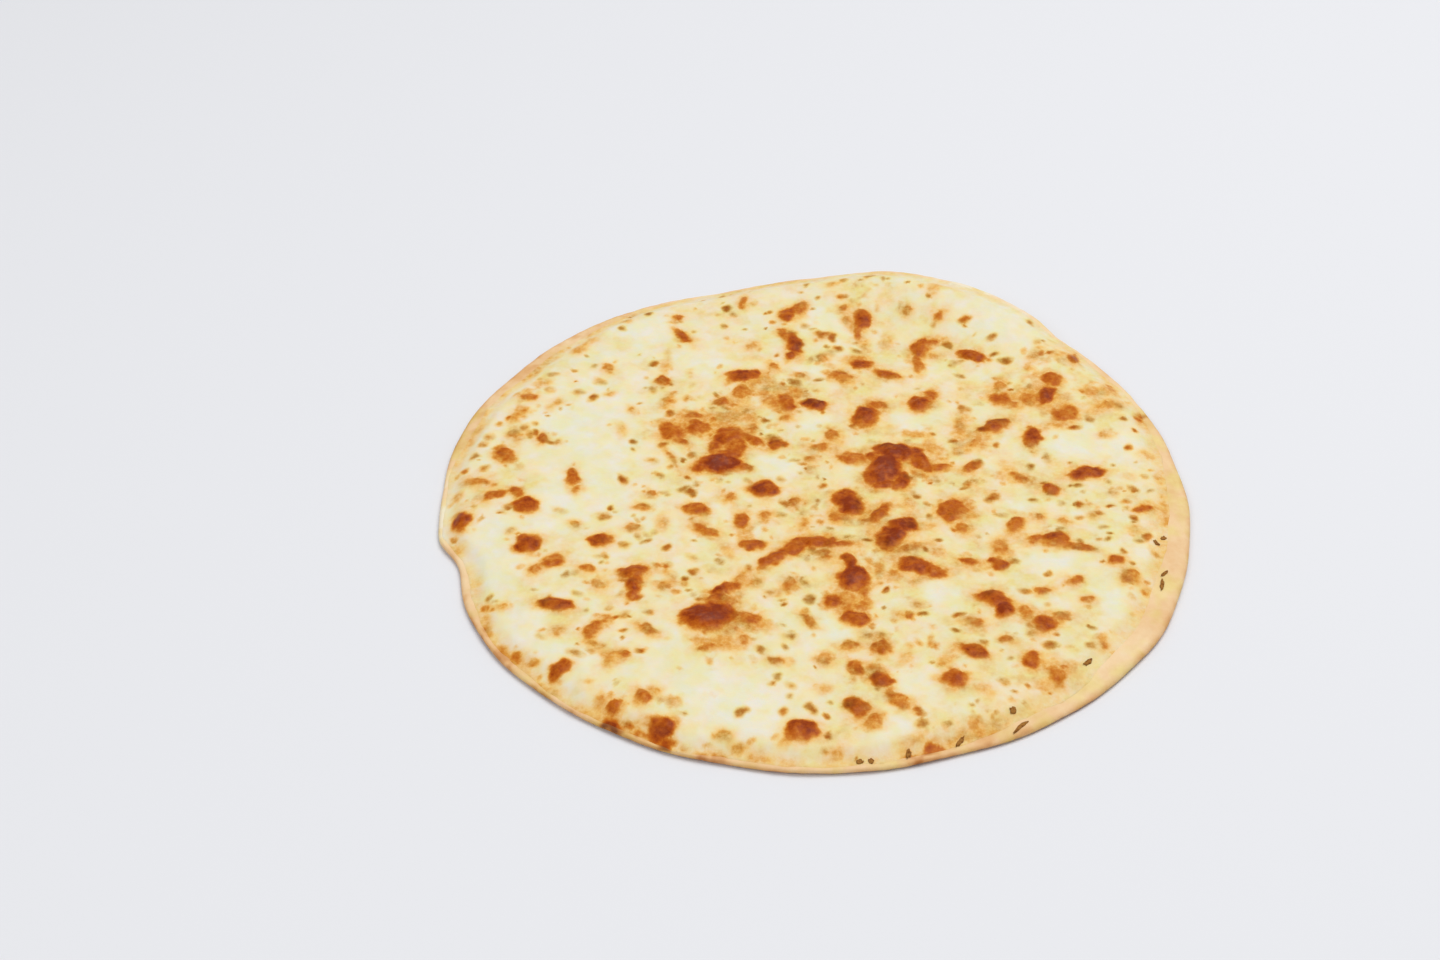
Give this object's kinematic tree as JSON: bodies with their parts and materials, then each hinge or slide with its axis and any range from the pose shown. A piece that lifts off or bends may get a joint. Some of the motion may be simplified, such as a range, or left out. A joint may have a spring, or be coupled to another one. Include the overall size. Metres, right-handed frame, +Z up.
{
  "type": "pizza",
  "caption": "Round thin-crust cheese pizza, uncut, with a low uneven bare rim, a puffed far edge and melted cheese covered in browned blisters.",
  "frame": {"origin": "under the middle of the outline, on the underside", "axes": "+Z up, +Y to the far side where the rim has puffed up, +X to the right"},
  "size_m": [0.2822, 0.2882, 0.0142],
  "materials": {
    "baked_dough": "matt baked dough, peach to tan, browned at the side and underside",
    "melted_cheese": "satin cream cheese with golden to dark red-brown blisters and a little oil"
  },
  "bodies": {
    "root": {"crust": "baked_dough", "cheese": "melted_cheese"}
  },
  "joints": []
}
